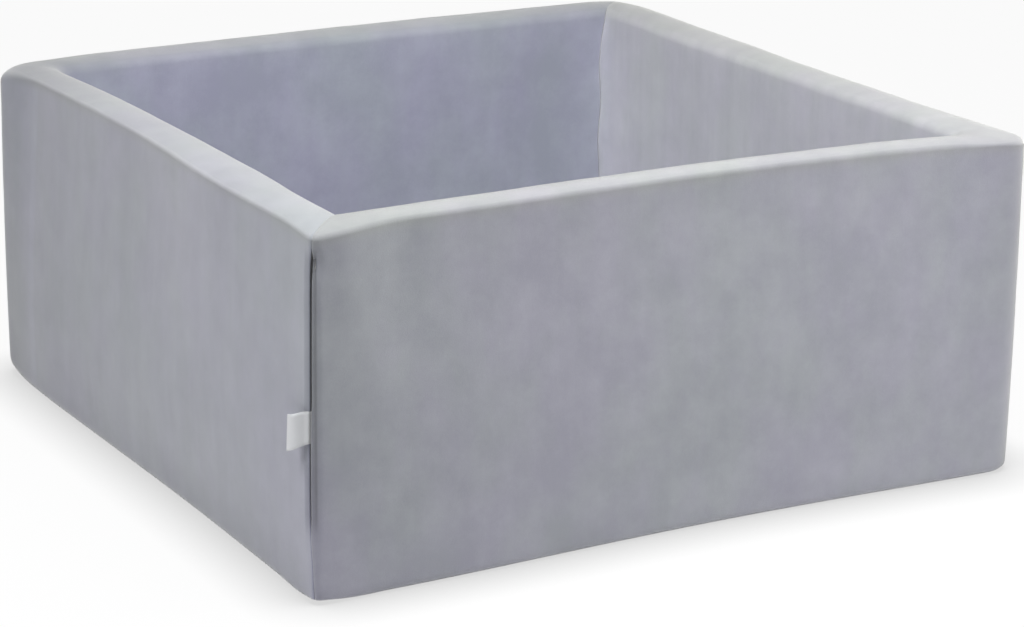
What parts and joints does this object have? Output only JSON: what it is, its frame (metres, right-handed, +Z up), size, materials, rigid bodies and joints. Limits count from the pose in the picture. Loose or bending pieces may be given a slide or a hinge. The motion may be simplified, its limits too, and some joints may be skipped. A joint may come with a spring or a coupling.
{
  "type": "ball pit",
  "caption": "Square soft play pit: foam board walls and a floor pad inside a zipped velvet cover, open at the top.",
  "frame": {"origin": "middle of the underside, on the surface that the pit stands on", "axes": "+X to the right along the front wall, +Y to the back wall, +Z up"},
  "size_m": [0.9166, 0.9, 0.4],
  "materials": {
    "velvet": "short pile velvet, matt with a pale sheen on the rims",
    "foam": "open cell foam, matt",
    "zip_tape": "woven tape, matt",
    "zip_coil": "satin",
    "zip_metal": "satin",
    "satin": "satin ribbon"
  },
  "bodies": {
    "pit": {"front_wall_foam": "foam", "back_wall_foam": "foam", "left_wall_foam": "foam", "right_wall_foam": "foam", "floor_foam": "foam", "floor_cover": "velvet", "base_cover_front": "velvet", "base_cover_back": "velvet", "front_right_sleeve": "velvet", "back_left_sleeve": "velvet", "ribbon_label": "satin", "front_corner_zip_left_tape": "zip_tape", "front_corner_zip_left_coil": "zip_coil", "front_corner_zip_right_tape": "zip_tape", "front_corner_zip_right_coil": "zip_coil", "front_corner_zip_top_stop": "zip_metal", "front_corner_zip_bottom_stop": "zip_metal", "rear_corner_zip_left_tape": "zip_tape", "rear_corner_zip_left_coil": "zip_coil", "rear_corner_zip_right_tape": "zip_tape", "rear_corner_zip_right_coil": "zip_coil", "rear_corner_zip_top_stop": "zip_metal", "rear_corner_zip_bottom_stop": "zip_metal", "base_zip_left_tape": "zip_tape", "base_zip_left_coil": "zip_coil", "base_zip_right_tape": "zip_tape", "base_zip_right_coil": "zip_coil", "base_zip_top_stop": "zip_metal", "base_zip_bottom_stop": "zip_metal"},
    "front_corner_slider": {"front_corner_zip_slider": "zip_metal"},
    "rear_corner_slider": {"rear_corner_zip_slider": "zip_metal"},
    "base_slider": {"base_zip_slider": "zip_metal"}
  },
  "joints": [
    {"name": "front_corner_zip_slide", "type": "slide", "parent": "pit", "child": "front_corner_slider", "axis": [0, 0, -1], "range_m": [0, 0.283]},
    {"name": "rear_corner_zip_slide", "type": "slide", "parent": "pit", "child": "rear_corner_slider", "axis": [0, 0, -1], "range_m": [0, 0.283]},
    {"name": "base_zip_slide", "type": "slide", "parent": "pit", "child": "base_slider", "axis": [-1, 0, 0], "range_m": [0, 0.671]}
  ]
}
